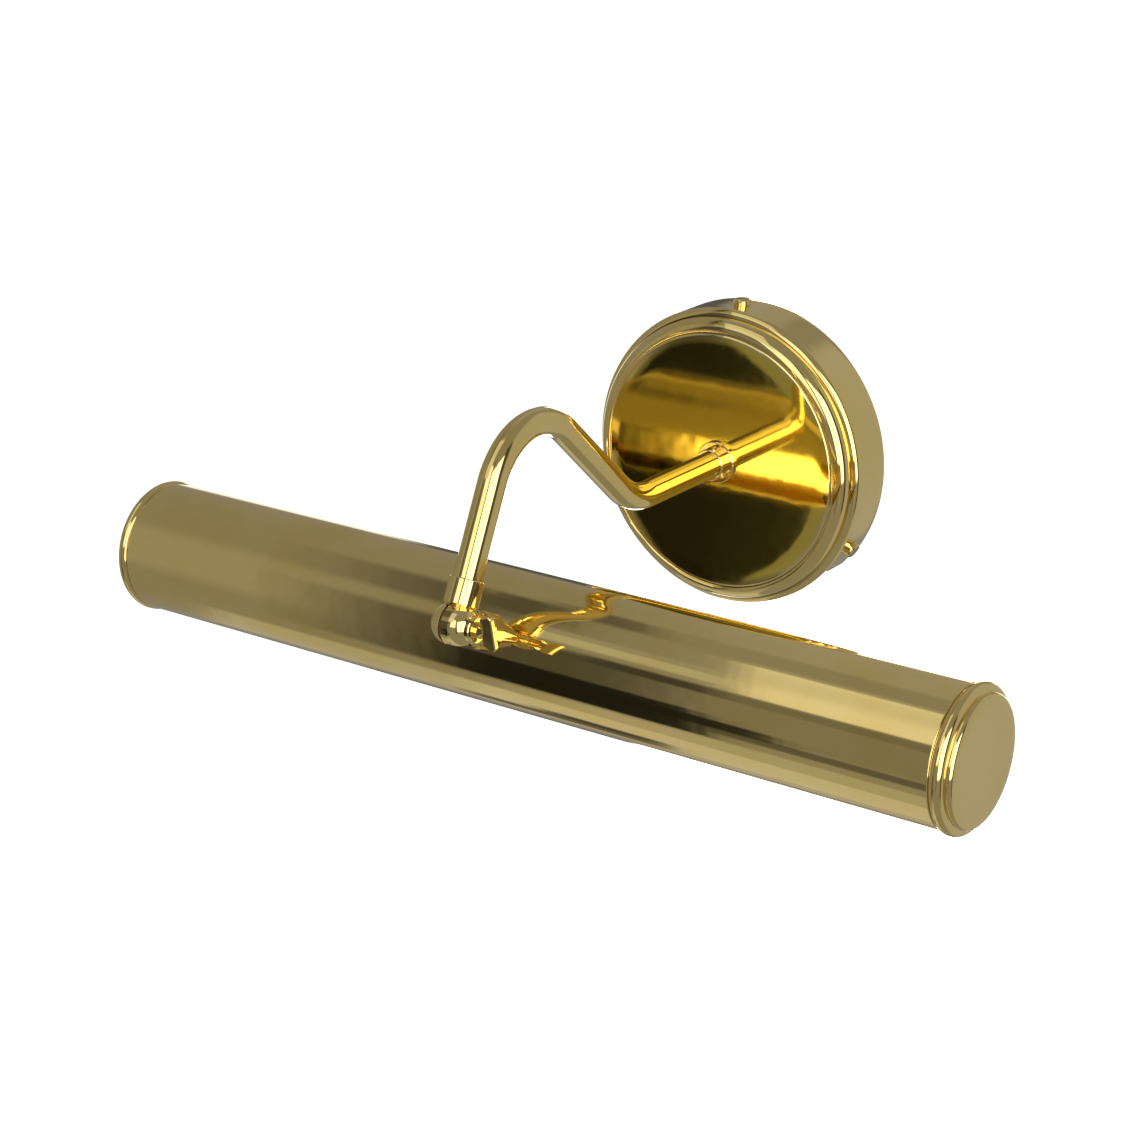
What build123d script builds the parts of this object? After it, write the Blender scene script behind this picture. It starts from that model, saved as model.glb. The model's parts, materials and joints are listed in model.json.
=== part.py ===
from build123d import *

import os
from math import asin, atan2, cos, degrees, hypot, radians, sin

# Picture light in polished brass: a round wall cup, a bent tubular arm, a clamped swivel
# knuckle and a long tubular shade with two lamps.
#
# Millimetres. The origin is the centre of the wall cup's back plane, on the wall.
# +X runs along the shade, +Y points into the wall and +Z points up.

# ---- driving dimensions -------------------------------------------------------------

FIT_GAP = 0.05  # radial clearance of a screw or shaft in its hole
PLAY = 0.3  # clearance between curved faces that move past each other

# wall cup
CUP_R = 57.5
CUP_DEPTH = 25.5
CUP_SKIN = 1.0
CUP_WALL_END = 17.4  # depth at which the side wall turns into the outer bead
BEAD_STEP_R = 54.6  # radius of the step between the two beads
BEAD_STEP_DEPTH = 20.4
INNER_BEAD_R = 50.6
CUP_FACE_R = 48.4
CUP_COVE = 0.7  # how far the cove dips behind the face

# cup screws, and the ears that take them
CUP_SCREW_ANGLES = (90, 210, 330)
CUP_SCREW_DEPTH = 10.0
CUP_SCREW_R = 1.45
CUP_SCREW_HEAD_R = 3.1
CUP_SCREW_HEAD_H = 2.2

# wall plate
PLATE_R = 45.0
PLATE_T = 1.5
EAR_FACE_R = 55.9
EAR_WIDTH = 12.0
EAR_HEIGHT = 15.5
FIXING_SPACING = 66.0
FIXING_HOLE_R = 2.6
CABLE_HOLE_R = 9.0

# three-pole connector on the plate, seen from the front
POLE_PITCH = 9.0
BLOCK_Z = -29.0
BLOCK_HEIGHT = 15.0
BLOCK_FRONT = 14.0  # its front face, from the wall
BLOCK_WIDTH = 27.0
BARRIER_GAP = 1.6
TUNNEL_DEPTH = 8.0
TUNNEL_R = 1.6
POLE_SCREW_R = 1.5
POLE_SCREW_OFFSET = 3.6
BLOCK_SCREW_R = 1.2
BLOCK_SCREW_WELL_R = 2.3
BLOCK_SCREW_WELL = 4.5  # depth of the well for its head

# earth connection
EARTH_X, EARTH_Z = -26.0, 19.0
EARTH_SCREW_R = 1.9
EARTH_TAG_T = 0.8

# arm: straight out of the cup, up, over the crown and down to the knuckle
ARM_R = 5.0
ARM_BORE_R = 4.0
ARM_INNER_END = 15.0
ARM_BEND_Y = -82.9
ARM_BEND_R = 28.0
CROWN_Y, CROWN_Z = -150.0, 60.3  # corner of the crown, before rounding
CROWN_R = 26.0
ARM_LEAD_R = 1.1
ARM_LEAD_PITCH = 2.5

# collar on the arm, and the nut and washer inside the cup
COLLAR_R = 8.1
COLLAR_T = 1.5
HUB_R = 6.1
HUB_LENGTH = 4.5
SET_SCREW_ANGLES = (80, -38)
SET_SCREW_R = 1.1
SET_SCREW_END = 6.9  # its outer end, from the arm's axis
ARM_WASHER_R = 10.0
ARM_WASHER_T = 1.2
NUT_THICKNESS = 3.5

# knuckle
PIVOT_Y, PIVOT_Z = -185.4, -14.9
SPLIT_X = -1.5  # face of the arm's half
KNUCKLE_R = 7.0
BARREL_END_X = 1.5  # the arm's half is a barrel up to here, then a dome
BOSS_R = 4.5
BOSS_END_X = 8.6
WASHER_T = 0.45  # fibre friction washer
SLEEVE_R = 6.0
SLEEVE_START, SLEEVE_END = 5.5, 15.5
ARM_INSERTED_TO = 7.0
NECK_R = 4.6
NECK_FLARE_R = 6.4
NECK_END = 14.0

# wing screw
SCREW_R = 1.95
SCREW_TIP_X = -7.0
WING_WASHER_T = 0.8
WING_INNER_X, WING_OUTER_X = 11.2, 16.2
WING_INNER_WIDTH, WING_OUTER_WIDTH = 10.4, 14.7
WING_T = 2.0
WING_LEAN = 78.0  # degrees that the wing hangs below the horizontal, towards the wall

# shade
SHADE_Y, SHADE_Z = -146.3, -33.35
SHADE_R = 24.1
SHADE_SKIN = 0.8
SHADE_LENGTH = 350.0
CAP_LENGTH = 7.0
CAP_SKIN = 1.0
SLOT_LENGTH = 316.0
SLOT_CENTRE_ANGLE = -55.0  # from +Y: the light leaves towards the wall and down
SLOT_HALF_ANGLE = 42.0

# lamps and holders, in the shade's middle
NIPPLE_R = 3.95
NIPPLE_BORE_R = 2.6
BRACKET_T = 1.5
BRACKET_HALF = 19.5
BRACKET_WIDTH = 15.0
HOLDER_R = 11.0
HOLDER_LENGTH = 31.0
HOLDER_NIPPLE_R = 4.95
HOLDER_NIPPLE_BORE_R = 3.2
HOLDER_NIPPLE_END = 24.0
SOCKET_R = 7.6
SOCKET_START = 27.0
SHELL_T = 0.4
LAMP_CAP_R = 7.0
CAP_START_X, CAP_END_X = 30.0, 51.5
LAMP_R = 12.5
LAMP_TIP_X = 113.0
GLASS_T = 0.7
LEAD_R = 0.85

# ---- derived places -----------------------------------------------------------------


def roll_to(dy, dz):
    """Roll about X that carries +Z onto the direction (dy, dz)."""
    return degrees(atan2(-dy, dz))


ARM_ROLL = roll_to(CROWN_Y - PIVOT_Y, CROWN_Z - PIVOT_Z)
NECK_ROLL = roll_to(SHADE_Y - PIVOT_Y, SHADE_Z - PIVOT_Z)
PIVOT_TO_SHADE = hypot(SHADE_Y - PIVOT_Y, SHADE_Z - PIVOT_Z)

ALONG_ARM = Location((0, PIVOT_Y, PIVOT_Z), (ARM_ROLL, 0, 0))  # +Z up the arm's last leg
ALONG_NECK = Location((0, PIVOT_Y, PIVOT_Z), (NECK_ROLL, 0, 0))  # +Z towards the shade
IN_SHADE = Location((0, SHADE_Y, SHADE_Z), (NECK_ROLL + 180, 0, 0))  # +Z to the knuckle
FROM_WALL = Location((0, 0, 0), (90, 0, 0))  # +Z straight out of the wall
SHADE_BORE_R = SHADE_R - SHADE_SKIN
TUBE_HALF = SHADE_LENGTH / 2 - CAP_LENGTH
CUP_SHOULDER = CUP_DEPTH - CUP_SKIN  # depth of the cup's inner face
BLOCK_SCREW_X = POLE_PITCH / 2
WASHER_FLAT = PIVOT_TO_SHADE - SHADE_BORE_R + 2.6  # flat of the washer, along the neck
NUT_END = WASHER_FLAT + BRACKET_T + 4.0
NIPPLE_END = NUT_END + 1.5

# ---- helpers ------------------------------------------------------------------------


def disc(radius, low, high):
    """Upright cylinder from z = low to z = high."""
    upright = (Align.CENTER, Align.CENTER, Align.MIN)
    return Pos(0, 0, low) * Cylinder(radius, high - low, align=upright)


def rod_x(radius, low, high):
    """Cylinder along X from x = low to x = high."""
    return Pos(low, 0, 0) * Rot(0, 90, 0) * disc(radius, 0, high - low)


def turned(*outline):
    """Turned solid about Z from the lines and arcs of an outline in (radius, height)."""
    face = make_face(Curve() + list(outline))
    return revolve(Plane.XZ * face, Axis.Z)


def turned_points(*points):
    """Turned solid about Z from corner points (radius, height)."""
    return revolve(Plane.XZ * make_face(Polyline(*points, close=True)), Axis.Z)


def along_x(solid):
    """Turns a solid's Z axis onto X."""
    return Rot(0, 90, 0) * solid


def hexagon(across_flats, low, high):
    """Hexagonal prism along Z with slightly chamfered corners."""
    plan = RegularPolygon(across_flats / 2, 6, major_radius=False)
    nut = Pos(0, 0, low) * extrude(plan, high - low)
    corner = across_flats / 2 / cos(radians(30))
    bevel = 0.5
    envelope = turned_points(
        (0, low),
        (corner - bevel, low),
        (corner, low + bevel),
        (corner, high - bevel),
        (corner - bevel, high),
        (0, high),
    )
    return nut & envelope


def slotted_screw(head_r, head_h, shank_r, shank_length, slot=0.8):
    """Cheese-head screw along Z, with its head above z = 0 and its shank below."""
    edge = 0.4
    body = turned_points(
        (0, head_h),
        (head_r - edge, head_h),
        (head_r, head_h - edge),
        (head_r, 0),
        (shank_r, 0),
        (shank_r, edge - shank_length),
        (shank_r - edge, -shank_length),
        (0, -shank_length),
    )
    return body - Pos(0, 0, head_h) * Box(2 * head_r + 1, slot, head_h)


def wire(radius, points, bends):
    """Round wire along straight runs joined by tangent arcs."""
    path = FilletPolyline(*points, radius=bends)
    return sweep((path ^ 0) * Circle(radius), path=path)


def arm_route(first_y, leg_end, x=0.0):
    """The arm's bent line, from first_y inside the cup to leg_end up the last leg."""
    end = ALONG_ARM * Pos(0, 0, leg_end)
    return [
        (x, first_y, 0),
        (x, ARM_BEND_Y, 0),
        (x, CROWN_Y, CROWN_Z),
        (x, end.position.Y, end.position.Z),
    ]


# ---- wall fixing and cup ------------------------------------------------------------


def cup_profile():
    """Half section of the cup's outer skin, in (radius, depth), drawn past axis and wall."""
    axis, wall = -5.0, -5.0
    edge_r = 0.5
    lines = [
        Line((axis, wall), (CUP_R, wall)),
        Line((CUP_R, wall), (CUP_R, CUP_WALL_END)),
        RadiusArc((CUP_R, CUP_WALL_END), (BEAD_STEP_R, BEAD_STEP_DEPTH), -3.1),
        Line((BEAD_STEP_R, BEAD_STEP_DEPTH), (BEAD_STEP_R, BEAD_STEP_DEPTH + edge_r)),
        RadiusArc((BEAD_STEP_R, BEAD_STEP_DEPTH + edge_r), (INNER_BEAD_R, CUP_DEPTH - 0.1), -4.4),
        ThreePointArc(
            (INNER_BEAD_R, CUP_DEPTH - 0.1),
            ((INNER_BEAD_R + CUP_FACE_R) / 2, CUP_DEPTH - CUP_COVE),
            (CUP_FACE_R, CUP_DEPTH),
        ),
        Line((CUP_FACE_R, CUP_DEPTH), (axis, CUP_DEPTH)),
        Line((axis, CUP_DEPTH), (axis, wall)),
    ]
    return make_face(Curve() + lines)


def side_screw_place(angle):
    """Frame of a cup screw: origin on the cup's axis, +Z out through the side wall."""
    return Location((0, -CUP_SCREW_DEPTH, 0), (0, 90 - angle, 0))


def wall_cup():
    """Spun cup, open at the wall, with the arm's hole and three side holes."""
    outer = cup_profile()
    inner = Pos(-CUP_SKIN, -CUP_SKIN) * outer
    corner = (Align.MIN, Align.MIN)
    keep = Pos(ARM_R + FIT_GAP, 0) * Rectangle(CUP_R, CUP_DEPTH + 1, align=corner)
    section = (outer - inner) & keep
    cup = FROM_WALL * revolve(Plane.XZ * section, Axis.Z)
    for angle in CUP_SCREW_ANGLES:
        cup -= side_screw_place(angle) * disc(CUP_SCREW_R + 3 * FIT_GAP, EAR_FACE_R, CUP_R + 1)
    return cup


def cup_side_screws():
    """Three slotted screws through the cup's side wall into the plate's ears."""
    reach = CUP_R - EAR_FACE_R + 4.0
    screw = slotted_screw(CUP_SCREW_HEAD_R, CUP_SCREW_HEAD_H, CUP_SCREW_R, reach)
    slot_turns = (20, 70, -35)
    return [
        side_screw_place(angle) * Pos(0, 0, CUP_R) * Rot(0, 0, turn) * screw
        for angle, turn in zip(CUP_SCREW_ANGLES, slot_turns)
    ]


def wall_plate():
    """Steel plate with three bent ears, two fixing holes, a cable hole and tapped holes."""
    plate = disc(PLATE_R, 0, PLATE_T)
    for angle in CUP_SCREW_ANGLES:
        strip = Pos(EAR_FACE_R / 2, 0, PLATE_T / 2) * Box(EAR_FACE_R, EAR_WIDTH, PLATE_T)
        upright = Box(PLATE_T, EAR_WIDTH, EAR_HEIGHT)
        ear = Pos(EAR_FACE_R - PLATE_T / 2, 0, EAR_HEIGHT / 2) * upright
        plate += Rot(0, 0, angle) * (strip + ear)
    for side in (-1, 1):
        plate -= Pos(side * FIXING_SPACING / 2, 0, 0) * disc(FIXING_HOLE_R, -1, PLATE_T + 1)
    plate -= disc(CABLE_HOLE_R, -1, PLATE_T + 1)
    plate -= Pos(BLOCK_SCREW_X, BLOCK_Z, 0) * disc(BLOCK_SCREW_R + FIT_GAP, -1, PLATE_T + 1)
    plate -= Pos(EARTH_X, EARTH_Z, 0) * disc(EARTH_SCREW_R + FIT_GAP, -1, PLATE_T + 1)
    plate = FROM_WALL * plate
    for angle in CUP_SCREW_ANGLES:
        hole = disc(CUP_SCREW_R + FIT_GAP, EAR_FACE_R - 2 * PLATE_T, EAR_FACE_R + 1)
        plate -= side_screw_place(angle) * hole
    return plate


# ---- connections in the cup ---------------------------------------------------------


def pole_screw_spots():
    """Places of the six clamping screws, seen from the front."""
    for column in (-1, 0, 1):
        for row in (-1, 1):
            yield column * POLE_PITCH, BLOCK_Z + row * POLE_SCREW_OFFSET


def terminal_block():
    """Three-pole connector strip with barriers, wire tunnels and screw wells."""
    middle = (PLATE_T + BLOCK_FRONT) / 2
    block = Pos(0, BLOCK_Z, middle) * Box(BLOCK_WIDTH, BLOCK_HEIGHT, BLOCK_FRONT - PLATE_T)
    notch = Box(BARRIER_GAP, BLOCK_HEIGHT + 1, 5.0)
    for side in (-1, 1):
        block -= Pos(side * POLE_PITCH / 2, BLOCK_Z, BLOCK_FRONT) * notch
    tunnel = Rot(90, 0, 0) * Cylinder(TUNNEL_R, BLOCK_HEIGHT + 1)
    for column in (-1, 0, 1):
        block -= Pos(column * POLE_PITCH, BLOCK_Z, TUNNEL_DEPTH) * tunnel
    for x, z in pole_screw_spots():
        block -= Pos(x, z, 0) * disc(POLE_SCREW_R + FIT_GAP, TUNNEL_DEPTH, BLOCK_FRONT + 1)
    screw_spot = Pos(BLOCK_SCREW_X, BLOCK_Z, 0)
    well_floor = BLOCK_FRONT - BLOCK_SCREW_WELL
    block -= screw_spot * disc(BLOCK_SCREW_R + FIT_GAP, 0, BLOCK_FRONT + 1)
    block -= screw_spot * disc(BLOCK_SCREW_WELL_R, well_floor, BLOCK_FRONT + 1)
    return FROM_WALL * block


def terminal_screws():
    """Six slotted clamping screws in the connector's wells."""
    sunk = 0.8
    base = TUNNEL_DEPTH + ARM_LEAD_R + FIT_GAP
    length = BLOCK_FRONT - sunk - base + FIT_GAP
    slot = Pos(0, 0, length) * Box(4, 0.6, 1.6)
    screw = disc(POLE_SCREW_R, 0, length) - slot
    return [
        FROM_WALL * Pos(x, z, base) * Rot(0, 0, 15 * i) * screw
        for i, (x, z) in enumerate(pole_screw_spots())
    ]


def block_screw():
    """Screw that holds the connector on the wall plate."""
    seat = BLOCK_FRONT - BLOCK_SCREW_WELL
    screw = slotted_screw(2.1, 1.6, BLOCK_SCREW_R, seat - 0.2, slot=0.6)
    return FROM_WALL * Pos(BLOCK_SCREW_X, BLOCK_Z, seat) * Rot(0, 0, 40) * screw


def earth_tag():
    """Spade tag under the earth screw, bent up at its free end."""
    reach, width, height = 12.0, 5.0, 8.0
    eye = disc(4.0, PLATE_T, PLATE_T + EARTH_TAG_T)
    strip = Pos(reach / 2 + 1, 0, PLATE_T + EARTH_TAG_T / 2) * Box(reach - 2, width, EARTH_TAG_T)
    blade = Pos(reach - EARTH_TAG_T / 2, 0, PLATE_T + height / 2) * Box(EARTH_TAG_T, width, height)
    tag = eye + strip + blade - disc(EARTH_SCREW_R + FIT_GAP, 0, PLATE_T + 2)
    return FROM_WALL * Pos(EARTH_X, EARTH_Z, 0) * Rot(0, 0, 35) * tag


def earth_screw():
    """Brass earth screw through its tag into the wall plate."""
    seat = PLATE_T + EARTH_TAG_T
    screw = slotted_screw(3.6, 2.2, EARTH_SCREW_R, seat - 0.2)
    return FROM_WALL * Pos(EARTH_X, EARTH_Z, seat) * Rot(0, 0, -25) * screw


def arm_leads():
    """Three insulated leads from the connector, up to the arm and along its bore."""
    leads = []
    for column in (-1, 0, 1):
        x_block = column * POLE_PITCH
        x_arm = column * ARM_LEAD_PITCH
        top = BLOCK_Z + BLOCK_HEIGHT / 2
        start = [(x_block, -TUNNEL_DEPTH, BLOCK_Z + 0.5), (x_block, -TUNNEL_DEPTH, top + 5)]
        bends = [6.0, 5.0, ARM_BEND_R, CROWN_R]
        if column == 0:
            start = start[:1]
            bends = bends[1:]
        route = arm_route(-TUNNEL_DEPTH, ARM_INSERTED_TO + 2.0, x=x_arm)
        leads.append(wire(ARM_LEAD_R, start + route, bends))
    return leads


# ---- arm ----------------------------------------------------------------------------


def arm_tube():
    """Brass tube bent up over its crown, with a bore for the leads."""
    bends = [ARM_BEND_R, CROWN_R]
    skin = wire(ARM_R, arm_route(-ARM_INNER_END, ARM_INSERTED_TO), bends)
    bore = wire(ARM_BORE_R, arm_route(1 - ARM_INNER_END, ARM_INSERTED_TO - 1), bends)
    return skin - bore


def arm_collar():
    """Thin flange and hub on the arm, against the cup's face."""
    hub_end = CUP_DEPTH + COLLAR_T + HUB_LENGTH
    collar = turned_points(
        (ARM_R + FIT_GAP, CUP_DEPTH),
        (COLLAR_R, CUP_DEPTH),
        (COLLAR_R, CUP_DEPTH + COLLAR_T - 0.4),
        (COLLAR_R - 0.4, CUP_DEPTH + COLLAR_T),
        (HUB_R, CUP_DEPTH + COLLAR_T),
        (HUB_R, hub_end - 0.4),
        (HUB_R - 0.4, hub_end),
        (ARM_R + FIT_GAP, hub_end),
    )
    for angle in SET_SCREW_ANGLES:
        collar -= set_screw_place(angle) * disc(SET_SCREW_R + FIT_GAP, 0, 10)
    return FROM_WALL * collar


def set_screw_place(angle):
    """Frame of a grub screw in the hub: +Z out of the hub, before the cup is stood up."""
    return Pos(0, 0, CUP_DEPTH + COLLAR_T + HUB_LENGTH / 2) * Rot(0, 0, angle) * Rot(0, 90, 0)


def collar_set_screws():
    """Two slotted grub screws that hold the collar on the arm."""
    screw = disc(SET_SCREW_R, ARM_R + FIT_GAP, SET_SCREW_END)
    screw -= Pos(0, 0, SET_SCREW_END) * Box(4, 0.45, 1.0)
    return [FROM_WALL * set_screw_place(angle) * screw for angle in SET_SCREW_ANGLES]


def arm_washer():
    """Washer against the cup's inner face."""
    ring = disc(ARM_WASHER_R, CUP_SHOULDER - ARM_WASHER_T, CUP_SHOULDER)
    return FROM_WALL * (ring - disc(ARM_R + FIT_GAP, 0, CUP_DEPTH))


def arm_lock_nut():
    """Hexagonal locknut that clamps the cup on the arm."""
    top = CUP_SHOULDER - ARM_WASHER_T
    nut = hexagon(14.0, top - NUT_THICKNESS, top)
    return FROM_WALL * (nut - disc(ARM_R + FIT_GAP, 0, CUP_DEPTH))


def arm_bush():
    """Plastic bush that lines the arm's inner end."""
    flange = disc(ARM_R, ARM_INNER_END - 1.2, ARM_INNER_END)
    lining = disc(ARM_BORE_R - FIT_GAP, ARM_INNER_END, ARM_INNER_END + 5)
    return FROM_WALL * (flange + lining - disc(ARM_BORE_R - 0.35, 0, CUP_DEPTH))


# ---- knuckle ------------------------------------------------------------------------


def barrel(grow=0.0):
    """The arm's half of the knuckle about X: barrel, dome and boss, grown by a clearance."""
    r = KNUCKLE_R + grow
    boss = BOSS_R + grow
    rim = 0.35
    shoulder = BARREL_END_X + (r**2 - boss**2) ** 0.5
    middle = asin(boss / r) / 2 + radians(45)
    dome = ThreePointArc(
        (r, BARREL_END_X),
        (r * sin(middle), BARREL_END_X + r * cos(middle)),
        (boss, shoulder),
    )
    outline = [
        Line((0, SPLIT_X), (r - rim, SPLIT_X)),
        Line((r - rim, SPLIT_X), (r, SPLIT_X + rim)),
        Line((r, SPLIT_X + rim), (r, BARREL_END_X)),
        dome,
        Line((boss, shoulder), (boss, BOSS_END_X - rim)),
        Line((boss, BOSS_END_X - rim), (boss - rim, BOSS_END_X)),
        Line((boss - rim, BOSS_END_X), (0, BOSS_END_X)),
        Line((0, BOSS_END_X), (0, SPLIT_X)),
    ]
    return Pos(0, PIVOT_Y, PIVOT_Z) * along_x(turned(*outline))


def half_ball(grow=0.0):
    """The shade's half of the knuckle: a half ball about X, grown by a clearance."""
    ball = Pos(SPLIT_X, PIVOT_Y, PIVOT_Z) * Sphere(KNUCKLE_R + grow)
    face = SPLIT_X - (0 if grow else WASHER_T + FIT_GAP)
    size = 4 * KNUCKLE_R
    return ball & Pos(face - size / 2, PIVOT_Y, PIVOT_Z) * Box(size, size, size)


def knuckle_upper():
    """Arm's half: barrel with a boss for the wing screw, and the sleeve on the arm."""
    foot = 1.4
    sleeve = turned_points(
        (0, 2),
        (SLEEVE_R - foot, 2),
        (SLEEVE_R - foot, SLEEVE_START),
        (SLEEVE_R, SLEEVE_START + foot),
        (SLEEVE_R, SLEEVE_END - 0.3),
        (SLEEVE_R - 0.3, SLEEVE_END),
        (0, SLEEVE_END),
    )
    half = ALONG_ARM * sleeve - half_ball(PLAY) + barrel()
    half -= ALONG_ARM * disc(ARM_R + 0.02, ARM_INSERTED_TO - 0.1, SLEEVE_END + 1)
    half -= ALONG_ARM * disc(ARM_BORE_R, SCREW_R + 2.0, ARM_INSERTED_TO)
    return half - Pos(0, PIVOT_Y, PIVOT_Z) * rod_x(SCREW_R + FIT_GAP, -10, 10)


def knuckle_lower():
    """Shade's half: half ball, neck and the flared socket for the hollow nipple."""
    flare_start = 9.0
    flare = NECK_FLARE_R - NECK_R
    neck = turned(
        Line((0, 2), (NECK_R, 2)),
        Line((NECK_R, 2), (NECK_R, flare_start)),
        RadiusArc((NECK_R, flare_start), (NECK_FLARE_R, flare_start + flare), 1.8),
        Line((NECK_FLARE_R, flare_start + flare), (NECK_FLARE_R, NECK_END)),
        Line((NECK_FLARE_R, NECK_END), (0, NECK_END)),
        Line((0, NECK_END), (0, 2)),
    )
    half = ALONG_NECK * neck - barrel(PLAY) - friction_disc(PLAY)
    half += half_ball()
    half -= ALONG_NECK * disc(NIPPLE_R + FIT_GAP, NECK_END - 3.5, NECK_END + 1)
    half -= ALONG_NECK * disc(2.0, SCREW_R + 2.5, NECK_END)
    return half - Pos(0, PIVOT_Y, PIVOT_Z) * rod_x(SCREW_R + FIT_GAP, SCREW_TIP_X - 0.5, 0)


def friction_disc(grow=0.0):
    """Room or solid of the fibre washer between the halves."""
    face = SPLIT_X - FIT_GAP
    radius = KNUCKLE_R - 0.7 + 3 * grow
    return Pos(0, PIVOT_Y, PIVOT_Z) * rod_x(radius, face - WASHER_T, face + grow)


def friction_washer():
    """Fibre washer on the shade's half, just clear of the arm's half."""
    return friction_disc() - Pos(0, PIVOT_Y, PIVOT_Z) * rod_x(SCREW_R + FIT_GAP, -10, 10)


def wing_washer():
    """Plain washer under the wing screw's shoulder."""
    start = BOSS_END_X + FIT_GAP
    ring = rod_x(BOSS_R - 0.2, start, start + WING_WASHER_T) - rod_x(SCREW_R + FIT_GAP, 0, 20)
    return Pos(0, PIVOT_Y, PIVOT_Z) * ring


def wing_screw():
    """Clamping screw along X with a flat wing that widens outwards, rounded at its corners."""
    shoulder = BOSS_END_X + 2 * FIT_GAP + WING_WASHER_T
    stem_r = 2.7
    rounding = 1.3
    stem = along_x(
        turned_points(
            (0, SCREW_TIP_X),
            (SCREW_R - 0.5, SCREW_TIP_X),
            (SCREW_R, SCREW_TIP_X + 0.5),
            (SCREW_R, shoulder),
            (stem_r, shoulder),
            (stem_r, WING_INNER_X - 0.3),
            (WING_T / 2, WING_INNER_X + 0.7),
            (0, WING_INNER_X + 0.7),
        )
    )
    corners = [
        (WING_INNER_X, -WING_INNER_WIDTH / 2),
        (WING_OUTER_X, -WING_OUTER_WIDTH / 2),
        (WING_OUTER_X, WING_OUTER_WIDTH / 2),
        (WING_INNER_X, WING_INNER_WIDTH / 2),
    ]
    plan = make_face(Polyline(*corners, close=True))
    plan = fillet(plan.vertices(), radius=rounding)
    wing = Pos(0, 0, -WING_T / 2) * extrude(plan, WING_T)
    levels = wing.edges().group_by(Axis.Z)
    wing = chamfer(levels[0] + levels[-1], 0.35)
    return Pos(0, PIVOT_Y, PIVOT_Z) * Rot(-WING_LEAN, 0, 0) * (stem + wing)


# ---- shade --------------------------------------------------------------------------


def shade_saddle():
    """Turned seat between the neck and the tube, hollowed to the tube's round."""
    radius = NECK_FLARE_R + 0.2
    ease = 0.4
    top = PIVOT_TO_SHADE - SHADE_R + 4
    seat = turned_points(
        (NIPPLE_R + FIT_GAP, NECK_END),
        (radius - ease, NECK_END),
        (radius, NECK_END + ease),
        (radius, top),
        (NIPPLE_R + FIT_GAP, top),
    )
    tube = Pos(0, 0, PIVOT_TO_SHADE) * rod_x(SHADE_R + 0.01, -20, 20)
    return ALONG_NECK * (seat - tube)


def shade_nipple():
    """Hollow threaded tube that clamps the shade to the neck and carries the leads."""
    tube = disc(NIPPLE_R, NECK_END - 3.4, NIPPLE_END) - disc(NIPPLE_BORE_R, 0, NIPPLE_END + 1)
    return ALONG_NECK * tube


def shade_washer():
    """Washer inside the shade, domed to the tube and flat towards the nut."""
    dome = Pos(0, 0, PIVOT_TO_SHADE) * rod_x(SHADE_BORE_R - 0.02, -20, 20)
    ring = disc(7.0, WASHER_FLAT - 4, WASHER_FLAT) - disc(NIPPLE_R + FIT_GAP, 0, 40)
    return ALONG_NECK * (ring & dome)


def shade_lock_nut():
    """Hexagonal nut on the hollow nipple, under the bracket."""
    nut = hexagon(13.0, WASHER_FLAT + BRACKET_T, NUT_END) - disc(NIPPLE_R + FIT_GAP, 0, 40)
    return ALONG_NECK * nut


def shade_tube():
    """Long tube with the light slot along the side that faces the wall and the floor."""
    tube = rod_x(SHADE_R, -TUBE_HALF, TUBE_HALF)
    tube -= rod_x(SHADE_BORE_R, -TUBE_HALF - 1, TUBE_HALF + 1)
    reach = 2 * SHADE_R
    spread = reach * sin(radians(SLOT_HALF_ANGLE))
    depth = reach * cos(radians(SLOT_HALF_ANGLE))
    wedge = make_face(Polyline((0, 0), (depth, -spread), (depth, spread), close=True))
    slot = Plane.YZ * Rot(0, 0, SLOT_CENTRE_ANGLE) * wedge
    slot = Pos(-SLOT_LENGTH / 2, 0, 0) * extrude(slot, SLOT_LENGTH)
    tube = Pos(0, SHADE_Y, SHADE_Z) * (tube - slot)
    return tube - ALONG_NECK * disc(NIPPLE_R + FIT_GAP, 0, PIVOT_TO_SHADE - SHADE_R / 2)


def end_cap(side):
    """Pressed cap: a large bead, a step, a small bead round the flat face, and a spigot."""
    seam = TUBE_HALF
    face = SHADE_LENGTH / 2
    bead_start_r = SHADE_R - 0.1
    bead_r = SHADE_R + 0.8
    step_r = SHADE_R - 2.1
    face_r = SHADE_R - 3.3
    spigot_r = SHADE_BORE_R - FIT_GAP
    spigot_start = seam - 8.0
    cavity_r = spigot_r - CAP_SKIN
    outline = [
        Line((cavity_r, spigot_start), (spigot_r, spigot_start)),
        Line((spigot_r, spigot_start), (spigot_r, seam)),
        Line((spigot_r, seam), (bead_start_r, seam)),
        ThreePointArc((bead_start_r, seam), (bead_r, seam + 2.6), (step_r + 0.3, seam + 4.7)),
        Line((step_r + 0.3, seam + 4.7), (step_r, seam + 5.0)),
        ThreePointArc((step_r, seam + 5.0), (step_r - 0.2, seam + 6.3), (face_r, face)),
        Line((face_r, face), (0, face)),
        Line((0, face), (0, face - CAP_SKIN)),
        Line((0, face - CAP_SKIN), (face_r - 0.4, face - CAP_SKIN)),
        Line((face_r - 0.4, face - CAP_SKIN), (cavity_r - 1.2, seam + 4.2)),
        Line((cavity_r - 1.2, seam + 4.2), (cavity_r, seam + 1.5)),
        Line((cavity_r, seam + 1.5), (cavity_r, spigot_start)),
    ]
    cap = along_x(turned(*outline))
    if side < 0:
        cap = mirror(cap, about=Plane.YZ)
    return Pos(0, SHADE_Y, SHADE_Z) * cap


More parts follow.
